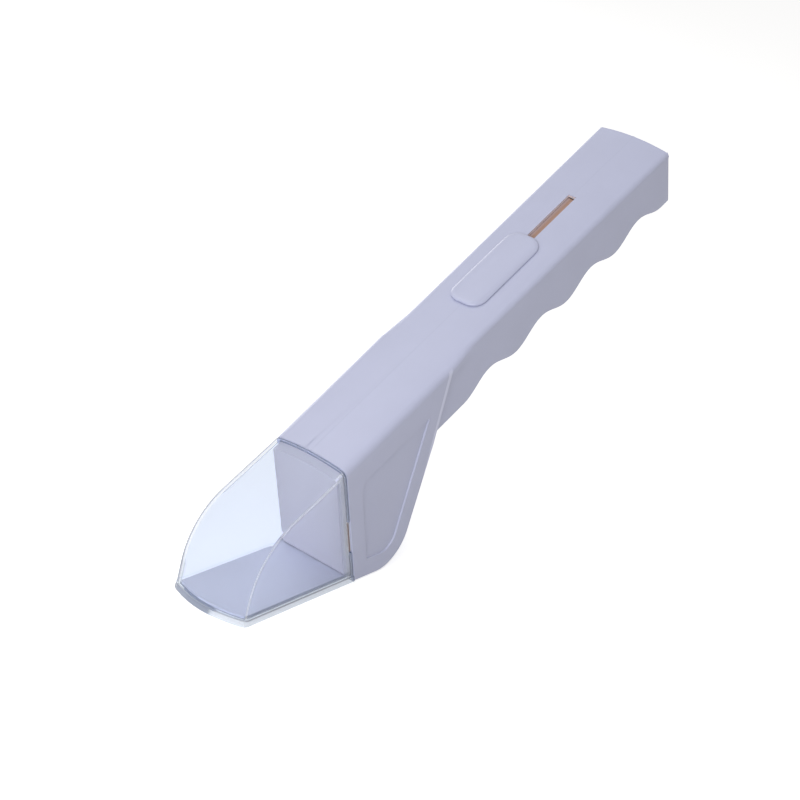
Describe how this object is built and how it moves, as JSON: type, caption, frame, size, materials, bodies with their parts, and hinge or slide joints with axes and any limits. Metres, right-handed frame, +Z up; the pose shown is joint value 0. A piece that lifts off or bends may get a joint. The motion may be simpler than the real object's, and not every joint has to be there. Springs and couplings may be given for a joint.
{
  "type": "bug catcher",
  "caption": "Hand-held bug catcher with a clear viewing chamber, a finger-grip handle and a thumb slider that opens a sliding trap door under the chamber.",
  "frame": {"origin": "on the base plane, midway between the handle's rear end and the chamber's tip, on the centre plane", "axes": "+X towards the chamber's tip, +Y to the catcher's left, +Z up from the base; the handle rises rearwards at 29.5 degrees"},
  "size_m": [0.1924, 0.0274, 0.1243],
  "materials": {
    "shell_plastic": "fine satin moulded plastic, pale lavender grey",
    "button_plastic": "satin moulded plastic, pale lavender grey",
    "clear_plastic": "clear polished plastic",
    "strip_plastic": "smooth flexible plastic sheet, pale lavender grey",
    "carriage_plastic": "plain moulded plastic, warm brown",
    "fastener_steel": "plain zinc-coated steel"
  },
  "bodies": {
    "body": {"left_shell": "shell_plastic", "right_shell": "shell_plastic", "front_bulkhead": "shell_plastic", "viewing_chamber": "clear_plastic", "door_strip_guided": "strip_plastic", "shell_screw_1": "fastener_steel", "shell_screw_2": "fastener_steel", "shell_screw_3": "fastener_steel", "shell_screw_4": "fastener_steel"},
    "slider": {"thumb_button": "button_plastic", "slider_carriage": "carriage_plastic", "door_strip_end": "strip_plastic", "strip_rivet_left": "fastener_steel", "strip_rivet_right": "fastener_steel"},
    "door": {"trap_door": "strip_plastic"},
    "strip": {"door_strip_floor": "strip_plastic"}
  },
  "joints": [
    {"name": "thumb_slide", "type": "slide", "parent": "body", "child": "slider", "axis": [-0.8704, 0, 0.4924], "range_m": [0, 0.034]},
    {"name": "door_slide", "type": "slide", "parent": "body", "child": "door", "axis": [-1, 0, 0], "range_m": [0, 0.034]},
    {"name": "strip_slide", "type": "slide", "parent": "body", "child": "strip", "axis": [-1, 0, 0], "range_m": [0, 0.0102], "deforming": ["door_strip_floor"]}
  ],
  "couplings": [
    {"joint": "door_slide", "follows": "thumb_slide", "ratio": 1},
    {"joint": "strip_slide", "follows": "thumb_slide", "ratio": 0.3}
  ]
}
